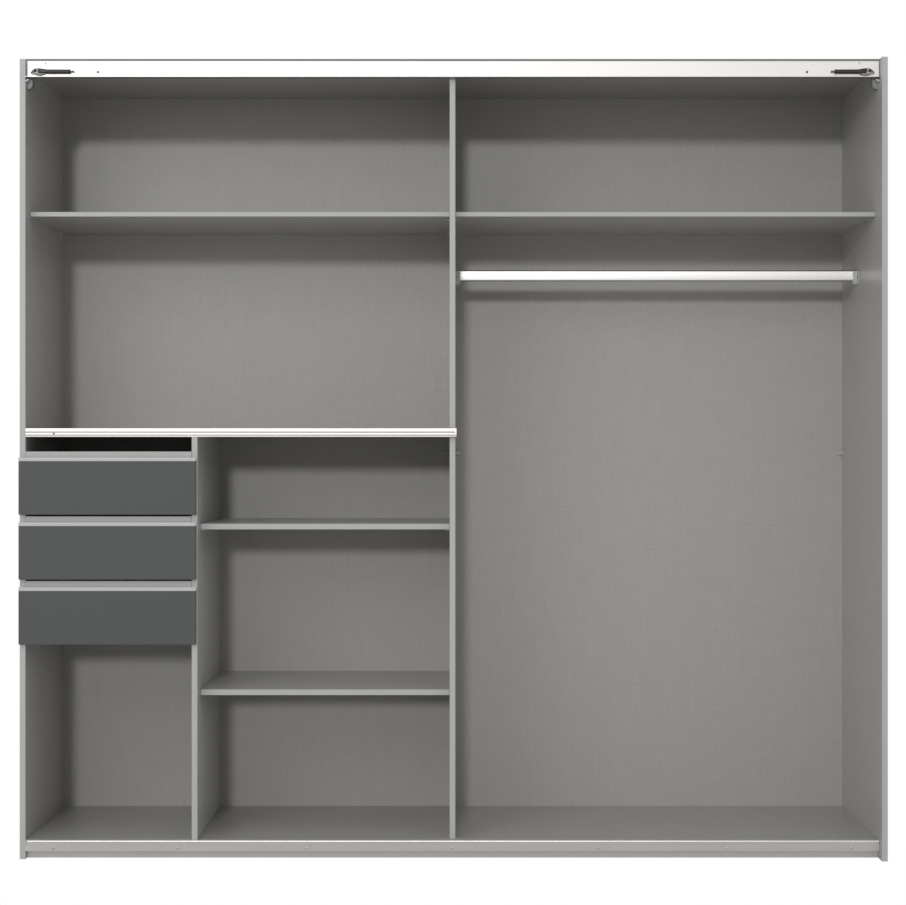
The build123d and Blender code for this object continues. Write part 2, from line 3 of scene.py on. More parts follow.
import bmesh
import bpy
import numpy as np
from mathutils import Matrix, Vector


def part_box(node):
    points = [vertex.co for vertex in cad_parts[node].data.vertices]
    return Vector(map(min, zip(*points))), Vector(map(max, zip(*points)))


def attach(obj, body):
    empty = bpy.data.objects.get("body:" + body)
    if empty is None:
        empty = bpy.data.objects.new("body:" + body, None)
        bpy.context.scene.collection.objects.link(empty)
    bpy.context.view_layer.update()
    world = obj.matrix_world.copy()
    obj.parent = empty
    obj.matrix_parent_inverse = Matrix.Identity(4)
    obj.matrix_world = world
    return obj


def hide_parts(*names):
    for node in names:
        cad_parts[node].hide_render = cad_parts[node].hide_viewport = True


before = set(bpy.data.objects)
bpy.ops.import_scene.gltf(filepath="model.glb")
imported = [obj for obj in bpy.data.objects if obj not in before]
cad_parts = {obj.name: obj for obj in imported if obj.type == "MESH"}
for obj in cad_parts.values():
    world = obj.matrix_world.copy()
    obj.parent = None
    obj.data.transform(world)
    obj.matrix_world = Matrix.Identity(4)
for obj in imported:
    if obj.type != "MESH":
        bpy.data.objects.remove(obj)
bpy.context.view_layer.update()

# ---------------------------------------------------------------- camera
# The wardrobe is seen straight on through a long lens, from 5.7 m in front of its open side
# and at about half its height.
EYE = (0.0013, -5.9635, 1.057)
SENSOR_WIDE = 36.0
FOCAL_LENGTH = 87.14
camera = bpy.data.objects.new("camera", bpy.data.cameras.new("camera"))
camera.location = EYE
camera.rotation_euler = (math.pi / 2, 0.0, 0.0)
camera.data.sensor_width = SENSOR_WIDE
camera.data.lens = FOCAL_LENGTH
bpy.context.scene.collection.objects.link(camera)
bpy.context.scene.camera = camera
bpy.context.scene.view_settings.view_transform = "Standard"

# ---------------------------------------------------------------- studio
# A white studio. One key light stands far in front, low and slightly to the left, a square
# light helps it from the upper left, and an even sky fills the compartments. The floor is pale.
KEY_FROM_LEFT = math.radians(3.5)
KEY_RISE = math.radians(9.42)
KEY_STRENGTH = 0.62
KEY_SOFTNESS = math.radians(3.7)
SKY_STRENGTH = 0.555
SIDE_PLACE = (-2.2, -4.0, 2.8)
SIDE_SIZE = 2.0
SIDE_AIM = (0.0, 0.0, 1.0)
SIDE_POWER = 30.0
FLOOR_GREY = 0.8
WHITE = (1.0, 1.0, 1.0, 1.0)
FLOOR_HALF = 12.0
FLOOR_UNDER_FEET = -0.0004


class Tone:
    """One output of a node tree. Arithmetic on it adds the Math nodes that work it out."""

    def __init__(self, finish, socket):
        self.finish = finish
        self.socket = socket

    def math(self, operation, first, second):
        return self.finish.node("ShaderNodeMath", {"operation": operation}, {0: first, 1: second})

    def __add__(self, other):
        return self.math("ADD", self, other)

    def __sub__(self, other):
        return self.math("SUBTRACT", self, other)

    def __rsub__(self, other):
        return self.math("SUBTRACT", other, self)

    def __mul__(self, other):
        return self.math("MULTIPLY", self, other)

    def __abs__(self):
        return self.math("ABSOLUTE", self, 0.0)

    __radd__ = __add__
    __rmul__ = __mul__

    def ramp(self, low, high):
        """0 where the tone is below low, 1 where it is above high, and a smooth rise between."""
        return self.finish.node(
            "ShaderNodeMapRange",
            {"interpolation_type": "SMOOTHSTEP"},
            {"Value": self, "From Min": low, "From Max": high},
        )

    def blend(self, colour, other):
        """The first colour where the tone is 0 and the other where it is 1."""
        return self.finish.node(
            "ShaderNodeMix", {"data_type": "RGBA"}, {0: self, 6: colour, 7: other}, output=2
        )


class Finish:
    """A node tree that is filled node by node: a material's, or the studio sky's."""

    def __init__(self, tree):
        self.tree = tree
        tree.nodes.clear()

    def node(self, kind, settings=None, sockets=None, output=0):
        """Adds one node: its settings first, then the values or links of its sockets."""
        made = self.tree.nodes.new(kind)
        for name, value in (settings or {}).items():
            setattr(made, name, value)
        for key, value in (sockets or {}).items():
            if isinstance(value, Tone):
                self.tree.links.new(value.socket, made.inputs[key])
            else:
                made.inputs[key].default_value = value
        return Tone(self, made.outputs[output]) if made.outputs else None


studio = bpy.data.worlds.new("studio")
bpy.context.scene.world = studio
studio.use_nodes = True
sky = Finish(studio.node_tree)
seen = sky.node("ShaderNodeLightPath", output="Is Camera Ray")
glow = seen * (1.0 - SKY_STRENGTH) + SKY_STRENGTH
sky.node(
    "ShaderNodeOutputWorld",
    sockets={
        "Surface": sky.node(
            "ShaderNodeBackground",
            sockets={"Color": WHITE, "Strength": glow},
        )
    },
)

key = bpy.data.objects.new("key_light", bpy.data.lights.new("key_light", "SUN"))
key.data.energy = KEY_STRENGTH
key.data.angle = KEY_SOFTNESS
key_travels = Vector(
    (
        math.sin(KEY_FROM_LEFT) * math.cos(KEY_RISE),
        math.cos(KEY_FROM_LEFT) * math.cos(KEY_RISE),
        -math.sin(KEY_RISE),
    )
)
key.rotation_euler = key_travels.to_track_quat("-Z", "Y").to_euler()
bpy.context.scene.collection.objects.link(key)

side_light = bpy.data.objects.new("side_light", bpy.data.lights.new("side_light", "AREA"))
side_light.data.shape = "SQUARE"
side_light.data.size = SIDE_SIZE
side_light.data.energy = SIDE_POWER
side_light.location = SIDE_PLACE
aim = Vector(SIDE_AIM) - Vector(SIDE_PLACE)
side_light.rotation_euler = aim.to_track_quat("-Z", "Y").to_euler()
bpy.context.scene.collection.objects.link(side_light)

floor_corners = FLOOR_HALF * np.array([(-1, -1, 0), (1, -1, 0), (1, 1, 0), (-1, 1, 0)], float)
floor_corners[:, 2] = FLOOR_UNDER_FEET
floor_mesh = bpy.data.meshes.new("studio_floor")
floor_mesh.from_pydata(floor_corners.tolist(), [], [(0, 1, 2, 3)])
studio_floor = bpy.data.objects.new("studio_floor", floor_mesh)
bpy.context.scene.collection.objects.link(studio_floor)
pale = bpy.data.materials.new("studio_floor")
pale.use_nodes = True
floor_finish = Finish(pale.node_tree)
floor_finish.node(
    "ShaderNodeOutputMaterial",
    sockets={
        "Surface": floor_finish.node(
            "ShaderNodeMixShader",
            sockets={
                0: floor_finish.node("ShaderNodeLightPath", output="Is Camera Ray"),
                1: floor_finish.node(
                    "ShaderNodeBsdfDiffuse", sockets={"Color": (*[FLOOR_GREY] * 3, 1.0)}
                ),
                2: floor_finish.node("ShaderNodeEmission", sockets={"Color": WHITE}),
            },
        )
    },
)
floor_mesh.materials.append(pale)

# ---------------------------------------------------------------- linen boards
# Side panels, top, floor, partitions and shelves: particle board under a foil printed with a
# warm grey linen weave. Their edges carry a plain, lighter grey band; the top's edge band is a
# dark grey that paints in the shade above the upper rail. The upright boards are given more
# sheen than the flat ones.
LINEN_DARK = (0.353, 0.345, 0.324)
LINEN_LIGHT = (0.450, 0.440, 0.414)
EDGE_GREY = (0.470, 0.468, 0.460)
# A dark grey standing for painted shade: the top panel's edge above the upper rail, and the batten
# behind it.
TOP_EDGE_SHADE_GREY = (0.205, 0.204, 0.198)
THREAD_THICK = 0.0026
THREAD_LONG = 0.055
THREAD_HIGH = 0.00008
SLUB_THICK = 0.0038
SLUB_LONG = 0.150
WEAVE_CONTRAST = 0.62
SLUB_CONTRAST = 0.40
UPRIGHT_SHEEN = 0.34
FLAT_SHEEN = 0.08
SHEEN_ROUGHNESS = 0.4


def new_finish(name):
    """An empty material and the node tree that its finish is written in."""
    material = bpy.data.materials.new(name)
    material.use_nodes = True
    return material, Finish(material.node_tree)


def surfaced(finish, base, roughness, metallic=0.0, specular=0.5, sheen=0.0, bump=None):
    """Ends a finish in its surface: colour, roughness, metal, sheen and a bump's normal."""
    sockets = {
        "Base Color": base,
        "Roughness": roughness,
        "Metallic": metallic,
        "Specular IOR Level": specular,
        "Sheen Weight": sheen,
        "Sheen Roughness": SHEEN_ROUGHNESS,
    }
    if bump is not None:
        sockets["Normal"] = bump
    surface = finish.node("ShaderNodeBsdfPrincipled", sockets=sockets)
    finish.node("ShaderNodeOutputMaterial", sockets={"Surface": surface})


def rgba(colour):
    """A colour with its alpha of 1."""
    return (*colour, 1.0)


def mottle(finish, sizes, detail=1.0, roughness=0.5, shift=0.0):
    """Smooth random tone of about 0.5, in cells of the given size in metres along X, Y and Z."""
    place = finish.node("ShaderNodeTexCoord", output="Object")
    cells = finish.node("ShaderNodeVectorMath", {"operation": "DIVIDE"}, {0: place, 1: sizes})
    moved = finish.node("ShaderNodeVectorMath", {"operation": "ADD"}, {0: cells, 1: (shift,) * 3})
    return finish.node(
        "ShaderNodeTexNoise",
        sockets={"Vector": moved, "Scale": 1.0, "Detail": detail, "Roughness": roughness},
    )


def raised(finish, height, depth):
    """The normal of a surface that stands depth metres proud where height is 1."""
    return finish.node(
        "ShaderNodeBump", sockets={"Height": height, "Distance": depth, "Strength": 1.0}
    )


def woven(finish, thin, thick, long, shift):
    """Threads both ways in a board's plane: random cells, long one way and thick the other."""
    tones = []
    for along in range(3):
        if along != thin:
            sizes = [thick] * 3
            sizes[along] = long
            sizes[thin] = 1.0
            tones.append(mottle(finish, sizes, shift=shift + 7.3 * along))
    return tones[0] + tones[1] - 1.0


def linen(name, thin, sheen, edge=EDGE_GREY):
    """Linen foil on a board whose thickness runs along axis number thin, with banded edges."""
    material, finish = new_finish(name)
    weave = woven(finish, thin, THREAD_THICK, THREAD_LONG, 1.7)
    slubs = woven(finish, thin, SLUB_THICK, SLUB_LONG, 31.1)
    cloth = weave * WEAVE_CONTRAST + slubs * SLUB_CONTRAST + 0.5
    facing = finish.node("ShaderNodeTexCoord", output="Normal")
    across = finish.node("ShaderNodeSeparateXYZ", sockets={0: facing}, output=thin)
    face = abs(across).ramp(0.72, 0.80)
    grain = mottle(finish, (0.004, 0.004, 0.004), detail=2.0)
    band = grain.blend(rgba(0.97 * c for c in edge), rgba(1.03 * c for c in edge))
    colour = face.blend(band, cloth.blend(rgba(LINEN_DARK), rgba(LINEN_LIGHT)))
    surfaced(
        finish,
        colour,
        roughness=0.50 - face * 0.14,
        sheen=sheen,
        bump=raised(finish, face * cloth, THREAD_HIGH),
    )
    return material


def dress(material, *nodes):
    """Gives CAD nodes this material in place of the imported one."""
    for node in nodes:
        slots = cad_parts[node].data.materials
        slots.clear()
        slots.append(material)


linen_side = linen("linen_side", thin=0, sheen=UPRIGHT_SHEEN)
linen_flat = linen("linen_flat", thin=2, sheen=FLAT_SHEEN)
dress(linen_side, "side_panel_left", "side_panel_right", "centre_partition", "drawer_partition")
dress(linen_flat, "floor_panel", "middle_shelf", "upper_shelf_left", "upper_shelf_right")
dress(linen_flat, "bay_shelf_upper", "bay_shelf_lower")
# The top panel's edge band is painted dark, as shade above the upper rail.
dress(linen("linen_top", thin=2, sheen=FLAT_SHEEN, edge=TOP_EDGE_SHADE_GREY), "top_panel")

# ---------------------------------------------------------------- back panels
# Two thin fibreboards in the same linen foil, slid into grooves from below. The rear of the
# fibreboard is bare, and a white moulded H strip joins the two behind the centre partition.
BARE_DARK = (0.250, 0.190, 0.135)
BARE_LIGHT = (0.330, 0.262, 0.196)


def back_panel_finish():
    """Linen foil in front and bare brown fibreboard behind."""
    material, finish = new_finish("linen_back")
    weave = woven(finish, 1, THREAD_THICK, THREAD_LONG, 11.9)
    slubs = woven(finish, 1, SLUB_THICK, SLUB_LONG, 47.7)
    cloth = weave * WEAVE_CONTRAST + slubs * SLUB_CONTRAST + 0.5
    facing = finish.node("ShaderNodeTexCoord", output="Normal")
    rear = finish.node("ShaderNodeSeparateXYZ", sockets={0: facing}, output="Y").ramp(-0.6, -0.3)
    fibres = mottle(finish, (0.006, 0.006, 0.006), detail=4.0, roughness=0.7)
    bare = fibres.ramp(0.3, 0.7).blend(rgba(BARE_DARK), rgba(BARE_LIGHT))
    surfaced(
        finish,
        rear.blend(cloth.blend(rgba(LINEN_DARK), rgba(LINEN_LIGHT)), bare),
        roughness=0.42 + rear * 0.4,
        specular=0.4,
        sheen=FLAT_SHEEN,
        bump=raised(finish, cloth * (1.0 - rear) + fibres * rear, THREAD_HIGH),
    )
    return material


SPARK_SIZE = 0.0015


def moulded_plastic(name, colour, roughness):
    """Moulded plastic with the fine sparked grain of its mould."""
    material, finish = new_finish(name)
    spark = mottle(finish, (SPARK_SIZE,) * 3, detail=2.0)
    cloud = mottle(finish, (0.02, 0.02, 0.02))
    tint = (cloud * 0.6 + spark * 0.4).ramp(0.3, 0.7)
    surfaced(
        finish,
        tint.blend(rgba(0.94 * c for c in colour), rgba(1.06 * c for c in colour)),
        roughness=roughness - 0.04 + spark * 0.08,
        specular=0.4,
        bump=raised(finish, spark, 0.00003),
    )
    return material


light_plastic = moulded_plastic("light_plastic", (0.62, 0.62, 0.61), 0.45)
dress(back_panel_finish(), "back_panel_left", "back_panel_right")
dress(light_plastic, "back_panel_joiner")

# ---------------------------------------------------------------- plinth and battens
# Front and rear plinth, their supports, and the two battens that the rails are screwed to:
# particle board in a plain warm grey foil. The upper batten instead takes the top edge's dark
# grey, which paints in the shade behind the upper rail.
PLAIN_GREY = (0.600, 0.590, 0.572)


def plain_foil(name, colour, contrast, roughness):
    """Plain foil on board: a faint print and the slight orange peel of pressed foil."""
    material, finish = new_finish(name)
    print_tone = mottle(finish, (0.03, 0.03, 0.006), detail=3.0)
    peel = mottle(finish, (0.003, 0.003, 0.003), detail=1.0)
    surfaced(
        finish,
        print_tone.blend(
            rgba((1.0 - contrast) * c for c in colour), rgba((1.0 + contrast) * c for c in colour)
        ),
        roughness=roughness - 0.05 + print_tone * 0.1,
        specular=0.3,
        bump=raised(finish, peel, 0.00004),
    )
    return material


plain_board = plain_foil("plain_board", PLAIN_GREY, 0.06, 0.6)
dress(plain_board, "plinth_front", "plinth_rear", "plinth_supports", "bottom_front_batten")
# The upper batten gets the dark top-edge grey: painted shade behind the upper rail.
shaded_batten_board = plain_foil("shaded_batten_board", TOP_EDGE_SHADE_GREY, 0.06, 0.6)
dress(shaded_batten_board, "top_front_batten")

# ---------------------------------------------------------------- door rails
# Two extrusions in natural anodised aluminium, screwed to the carcass's front. The upper one
# has a ledge at its foot for the doors' fittings, and the lower one a nose along its top.
RAIL_WEB = 0.0025
LEDGE_THICK = 0.0016
NOSE_HIGH = 0.0030
NOSE_SLANT = 0.0005
RAIL_ROUND = 0.0005
WEB_ENDS = (-1.1035, 1.1080)
ALUMINIUM = (0.71, 0.684, 0.668)


def rounded(corners, radius, steps=5):
    """An outline with round corners. At each corner the arc touches both sides at radius over
    the tangent of half the corner's angle; its centre lies on the corner's bisector."""
    corners = np.array(corners, float)
    radius = np.broadcast_to(np.asarray(radius, float), len(corners))[:, None]
    back = np.roll(corners, 1, axis=0) - corners
    ahead = np.roll(corners, -1, axis=0) - corners
    back /= np.linalg.norm(back, axis=1, keepdims=True)
    ahead /= np.linalg.norm(ahead, axis=1, keepdims=True)
    half = np.arccos(np.clip((back * ahead).sum(1), -1.0, 1.0))[:, None] / 2
    bisector = back + ahead
    bisector /= np.linalg.norm(bisector, axis=1, keepdims=True)
    centre = corners + bisector * radius / np.sin(half)
    start = corners + back * radius / np.tan(half) - centre
    end = corners + ahead * radius / np.tan(half) - centre
    first = np.arctan2(start[:, 1], start[:, 0])
    turn = (np.arctan2(end[:, 1], end[:, 0]) - first + np.pi) % (2 * np.pi) - np.pi
    angle = first[:, None] + turn[:, None] * np.linspace(0.0, 1.0, steps)
    arc = np.stack([np.cos(angle), np.sin(angle)], axis=-1) * radius[:, :, None]
    return (centre[:, None, :] + arc).reshape(-1, 2)


def skinned(name, shells, looped=False, sharp=35.0):
    """One object from shells of rings. A shell is a grid of points: along it run the rings, and
    each ring closes on itself. Its ends get a face each, or where it is looped, the last ring
    joins the first."""
    faces = []
    start = 0
    for rings in shells:
        index = start + np.arange(rings.shape[0] * rings.shape[1]).reshape(rings.shape[:2])
        start += index.size
        near, far = (index, np.roll(index, -1, 0)) if looped else (index[:-1], index[1:])
        quads = np.stack([near, np.roll(near, -1, 1), np.roll(far, -1, 1), far], axis=-1)
        faces += quads.reshape(-1, 4).tolist()
        if not looped:
            faces += [index[0, ::-1].tolist(), index[-1].tolist()]
    points = np.concatenate([rings.reshape(-1, 3) for rings in shells])
    mesh = bpy.data.meshes.new(name)
    mesh.from_pydata(points.tolist(), [], faces)
    shape = bmesh.new()
    shape.from_mesh(mesh)
    bmesh.ops.remove_doubles(shape, verts=shape.verts, dist=1e-6)
    bmesh.ops.recalc_face_normals(shape, faces=shape.faces)
    shape.to_mesh(mesh)
    shape.free()
    mesh.polygons.foreach_set("use_smooth", np.ones(len(mesh.polygons), bool))
    mesh.set_sharp_from_angle(angle=math.radians(sharp))
    piece = bpy.data.objects.new(name, mesh)
    bpy.context.scene.collection.objects.link(piece)
    return piece


def along_x(outline, stations):
    """Rings of an outline in Y and Z, carried along X to each station."""
    rings = np.empty((len(stations), len(outline), 3))
    rings[:, :, 0] = np.asarray(stations)[:, None]
    rings[:, :, 1:] = outline
    return rings


def anodised(name, colour, roughness, streak=0.05):
    """Anodised aluminium, drawn and brushed along X: long faint streaks in tone and gloss."""
    material, finish = new_finish(name)
    drawn = mottle(finish, (0.35, 0.0016, 0.0016), detail=2.0)
    cloud = mottle(finish, (0.25, 0.05, 0.05))
    tint = (drawn * 0.6 + cloud * 0.4).ramp(0.3, 0.7)
    surfaced(
        finish,
        tint.blend(rgba((1.0 - streak) * c for c in colour), rgba(colour)),
        roughness=roughness - 0.05 + drawn * 0.1,
        metallic=1.0,
        bump=raised(finish, drawn, 0.00002),
    )
    return material


aluminium = anodised("anodised_aluminium", ALUMINIUM, 0.42)

rail_low, rail_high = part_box("top_door_rail")
rail_face = rail_high.y - RAIL_WEB
top_rail_outline = rounded(
    [
        (rail_high.y, rail_low.z),
        (rail_high.y, rail_high.z),
        (rail_face, rail_high.z),
        (rail_face, rail_low.z + LEDGE_THICK),
        (rail_low.y, rail_low.z + LEDGE_THICK),
        (rail_low.y, rail_low.z),
    ],
    [0.0002, 0.0002, RAIL_ROUND, 0.0008, RAIL_ROUND, RAIL_ROUND],
)
web_left, web_right = WEB_ENDS
top_rail_stations = [rail_low.x, web_left, web_left, web_right, web_right, rail_high.x]
top_rail_rings = along_x(top_rail_outline, top_rail_stations)
foot_only = [0, 1, 4, 5]
foot_heights = np.minimum(top_rail_rings[foot_only, :, 2], rail_low.z + LEDGE_THICK)
top_rail_rings[foot_only, :, 2] = foot_heights
top_rail = skinned("upper_door_rail", [top_rail_rings])
top_rail.data.materials.append(aluminium)
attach(top_rail, "carcass")
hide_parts("top_door_rail")

guide_low, guide_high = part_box("bottom_guide_rail")
guide_face = guide_high.y - RAIL_WEB
guide_outline = rounded(
    [
        (guide_high.y, guide_low.z),
        (guide_high.y, guide_high.z),
        (guide_low.y + NOSE_SLANT, guide_high.z),
        (guide_low.y, guide_high.z - NOSE_HIGH),
        (guide_face, guide_high.z - NOSE_HIGH),
        (guide_face, guide_low.z),
    ],
    [0.0002, RAIL_ROUND, RAIL_ROUND, RAIL_ROUND, 0.0006, RAIL_ROUND],
)
guide_rail = skinned("lower_door_rail", [along_x(guide_outline, [guide_low.x, web_right])])
guide_rail.data.materials.append(aluminium)
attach(guide_rail, "carcass")
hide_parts("bottom_guide_rail")

# ---------------------------------------------------------------- middle shelf's front profile
# An aluminium cap over the middle shelf's front edge, with two rounded grooves along its face.
# Its right end, beside the centre partition, is closed by a plain plate.
CAP_WEB = 0.0025
CAP_SHELF = (1.0995, 1.1175)
GROOVES = (1.1012, 1.1090)
GROOVE_WIDE = 0.0020
GROOVE_DEEP = 0.0019
CAP_PLATE = 0.0047

cap_low, cap_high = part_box("middle_shelf_profile")
cap_aluminium = anodised("cap_aluminium", (0.60, 0.578, 0.562), 0.42)


def cap_outline(grooves):
    """The cap's section: a C open to the rear, with V grooves in its face."""
    corners = [
        (cap_low.y, cap_high.z),
        (cap_high.y, cap_high.z),
        (cap_high.y, CAP_SHELF[1]),
        (cap_low.y + CAP_WEB, CAP_SHELF[1]),
        (cap_low.y + CAP_WEB, CAP_SHELF[0]),
        (cap_high.y, CAP_SHELF[0]),
        (cap_high.y, cap_low.z),
        (cap_low.y, cap_low.z),
    ]
    radii = [0.0006, 0.0003, 0.0003, 0.0003, 0.0003, 0.0003, 0.0003, 0.0006]
    for height in grooves:
        corners += [
            (cap_low.y, height - GROOVE_WIDE / 2),
            (cap_low.y + GROOVE_DEEP, height),
            (cap_low.y, height + GROOVE_WIDE / 2),
        ]
        radii += [0.0002, 0.0001, 0.0002]
    return rounded(corners, radii, steps=4)


cap_end = cap_high.x - CAP_PLATE
shelf_cap = skinned("middle_shelf_cap", [along_x(cap_outline(GROOVES), [cap_low.x, cap_end])])
shelf_cap.data.materials.append(cap_aluminium)
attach(shelf_cap, "carcass")
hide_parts("middle_shelf_profile")
cap_plate = skinned("middle_shelf_cap_end", [along_x(cap_outline(()), [cap_end, cap_high.x])])
cap_plate.data.materials.append(cap_aluminium)
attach(cap_plate, "carcass")

# ---------------------------------------------------------------- screws
# Raised-head screws with a cross recess. Those along the lower rail and the small ones in the
# upper rail are bright zinc; the others, in the upper rail, shelf profile, brackets and sockets,
# are darker.
SCREW_AROUND = 32
HEAD_HIGH = 0.0016
RECESS_DEEP = 0.0009
RECESS_HALF = 0.0005
RECESS_REACH = 0.27


def screw(point, outward, head, shank, reach):
    """A screw as rings round its axis. The head's height falls with the square of the radius,
    less a cross recess that deepens towards the middle; then come the rim, shank and point."""
    turn = np.linspace(0.0, 2 * np.pi, SCREW_AROUND, endpoint=False)
    share = np.array([0.0, 0.08, 0.16, 0.24, 0.32, 0.40, 0.52, 0.66, 0.80, 0.92, 1.0])[:, None]
    radius = share * head / 2 * np.ones_like(turn)
    dome = HEAD_HIGH * (1.0 - 0.75 * share**2)
    narrow = np.minimum(abs(radius * np.cos(turn)), abs(radius * np.sin(turn)))
    slot = np.clip((RECESS_HALF - narrow) / 0.0002 + 0.5, 0.0, 1.0)
    inside = np.clip((RECESS_REACH * head - radius) / 0.0003, 0.0, 1.0)
    height = dome - RECESS_DEEP * slot * inside
    below = [(head / 2, 0.0), (shank / 2, 0.0), (shank / 2, 3 * shank - reach), (0.0, -reach)]
    radius = np.concatenate([radius, np.array([b[0] for b in below])[:, None] * np.ones_like(turn)])
    height = np.concatenate([height, np.array([b[1] for b in below])[:, None] * np.ones_like(turn)])
    outward = np.array(outward, float)
    side = np.array([0.0, 0.0, 1.0])
    other = np.cross(outward, side)
    return (
        np.array(point)
        + height[:, :, None] * outward
        + (radius * np.cos(turn))[:, :, None] * side
        + (radius * np.sin(turn))[:, :, None] * other
    )


def steel(name, colour, roughness):
    """Zinc plated steel with faint cloudy spangle."""
    material, finish = new_finish(name)
    spangle = mottle(finish, (0.004, 0.004, 0.004), detail=3.0)
    surfaced(
        finish,
        spangle.ramp(0.3, 0.7).blend(rgba(0.85 * c for c in colour), rgba(colour)),
        roughness=roughness - 0.08 + spangle * 0.16,
        metallic=1.0,
    )
    return material


fitting_steel = steel("fitting_steel", (0.62, 0.62, 0.60), 0.38)
dark_steel = steel("dark_steel", (0.20, 0.20, 0.195), 0.45)
tube_low, tube_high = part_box("clothes_rail")
tube_y = (tube_low.y + tube_high.y) / 2
tube_z = (tube_low.z + tube_high.z) / 2
bracket_low, bracket_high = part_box("corner_brackets")
SOCKET_FLANGE = 0.002
FLANGE_Z = 1.5365
FLANGE_SCREW = 0.021
BRACKET_WIDE = 0.015
BRACKET_FACE = rail_high.y + 0.018
BRACKET_SCREW = (BRACKET_FACE + 0.016, 2.036)
LARGE_SCREW = (0.0065, 0.0035)
SMALL_SCREW = (0.0045, 0.0025)
PROFILE_SCREW = (0.005, 0.003)
UPPER_LARGE = (0.921, 2.0456)
UPPER_SMALL = (1.057, 2.0687)
LOWER_ROW = (-1.037, -0.714, -0.379, 0.0, 0.379, 0.714, 1.037)
LOWER_HEIGHT = 0.029
PROFILE_PLACE = (-1.036, 1.106)

rail_screw_shells = []
fixing_screw_shells = []
for side in (-1, 1):
    large_place = (UPPER_LARGE[0] * side, rail_face, UPPER_LARGE[1])
    small_place = (UPPER_SMALL[0] * side, rail_face, UPPER_SMALL[1])
    fixing_screw_shells.append(screw(large_place, (0, -1, 0), *LARGE_SCREW, 0.018))
    rail_screw_shells.append(screw(small_place, (0, -1, 0), *SMALL_SCREW, 0.016))
    bracket_place = ((bracket_high.x - BRACKET_WIDE) * side, *BRACKET_SCREW)
    fixing_screw_shells.append(screw(bracket_place, (-side, 0, 0), *LARGE_SCREW, 0.025))
for across in LOWER_ROW:
    lower_place = (across, guide_face, LOWER_HEIGHT)
    rail_screw_shells.append(screw(lower_place, (0, -1, 0), *LARGE_SCREW, 0.018))
profile_place = (PROFILE_PLACE[0], cap_low.y, PROFILE_PLACE[1])
fixing_screw_shells.append(screw(profile_place, (0, -1, 0), *PROFILE_SCREW, 0.020))
for shift in (-FLANGE_SCREW, FLANGE_SCREW):
    near_wall = (tube_low.x, tube_y + shift, FLANGE_Z)
    far_wall = (tube_high.x, tube_y + shift, FLANGE_Z)
    fixing_screw_shells.append(screw(near_wall, (1, 0, 0), *LARGE_SCREW, 0.009))
    fixing_screw_shells.append(screw(far_wall, (-1, 0, 0), *LARGE_SCREW, 0.012))
fixing_screws = skinned("raised_head_screws", fixing_screw_shells)
fixing_screws.data.materials.append(dark_steel)
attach(fixing_screws, "carcass")
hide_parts("screws")
rail_screws = skinned("rail_screws", rail_screw_shells)
rail_screws.data.materials.append(fitting_steel)
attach(rail_screws, "carcass")
dress(fitting_steel, "cam_connectors")

# ---------------------------------------------------------------- corner brackets
# Moulded blocks in the two upper corners behind the batten. Each one's lower inner edge is a
# quarter round, its rims are soft, and a light slanted tongue reaches under the rail's foot.
BRACKET_RIM = 0.001
BRACKET_WALL = 1.110
TONGUE_LONG = 0.009
TONGUE_OUTER = (2.0205, 2.0245)
TONGUE_INNER = (2.0250, 2.0285)


def outward_of(outline):
    """Unit normals of an outline, from its neighbouring points, pointing away from its middle."""
    run = np.roll(outline, -1, axis=0) - np.roll(outline, 1, axis=0)
    normal = np.stack([run[:, 1], -run[:, 0]], axis=1)
    normal /= np.linalg.norm(normal, axis=1, keepdims=True) + 1e-12
    ahead = np.roll(outline, -1, axis=0)
    area = np.sum(outline[:, 0] * ahead[:, 1] - ahead[:, 0] * outline[:, 1])
    return normal if area > 0 else -normal


def moulding(outline, back, front, rim, steps=5):
    """Rings of an outline in X and Z, carried along Y from back to front. At both ends the
    outline draws in by a quarter round of the rim's radius."""
    quarter = np.linspace(0.0, np.pi / 2, steps)
    inset = rim * np.concatenate([1.0 - np.sin(quarter), 1.0 - np.cos(quarter)])
    way = np.sign(front - back)
    near = back + way * rim * (1.0 - np.cos(quarter))
    far = front - way * rim * (1.0 - np.sin(quarter))
    depth = np.concatenate([near, far])
    drawn = outline - inset[:, None, None] * outward_of(outline)
    rings = np.empty((*drawn.shape[:2], 3))
    rings[:, :, 0] = drawn[:, :, 0]
    rings[:, :, 1] = depth[:, None]
    rings[:, :, 2] = drawn[:, :, 1]
    return rings


def mirrored(corners, side):
    """Points in X and Z on the right, or their mirror on the left where side is -1."""
    return [(x * side, z) for x, z in corners]


grey_plastic = moulded_plastic("grey_plastic", (0.270, 0.268, 0.262), 0.45)
bracket_shells = []
tongue_shells = []
for side in (-1, 1):
    bracket_corners = [
        (bracket_high.x, bracket_high.z),
        (bracket_high.x - BRACKET_WIDE, bracket_high.z),
        (bracket_high.x - BRACKET_WIDE, bracket_low.z),
        (bracket_high.x, bracket_low.z),
    ]
    bracket_outline = rounded(
        mirrored(bracket_corners, side), [0.001, 0.002, BRACKET_WIDE * 0.9, 0.001], steps=9
    )
    bracket_shells.append(
        moulding(bracket_outline, bracket_high.y, BRACKET_FACE, BRACKET_RIM)
    )
    wall = BRACKET_WALL * side
    tongue_outline = rounded(
        [
            (wall, TONGUE_OUTER[0]),
            (wall, TONGUE_OUTER[1]),
            (wall - TONGUE_LONG * side, TONGUE_INNER[1]),
            (wall - TONGUE_LONG * side, TONGUE_INNER[0]),
        ],
        [0.0003, 0.0003, 0.001, 0.001],
    )
    tongue_shells.append(moulding(tongue_outline, BRACKET_FACE, bracket_low.y, 0.0006))
corner_blocks = skinned("corner_blocks", bracket_shells)
corner_blocks.data.materials.append(grey_plastic)
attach(corner_blocks, "carcass")
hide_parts("corner_brackets")
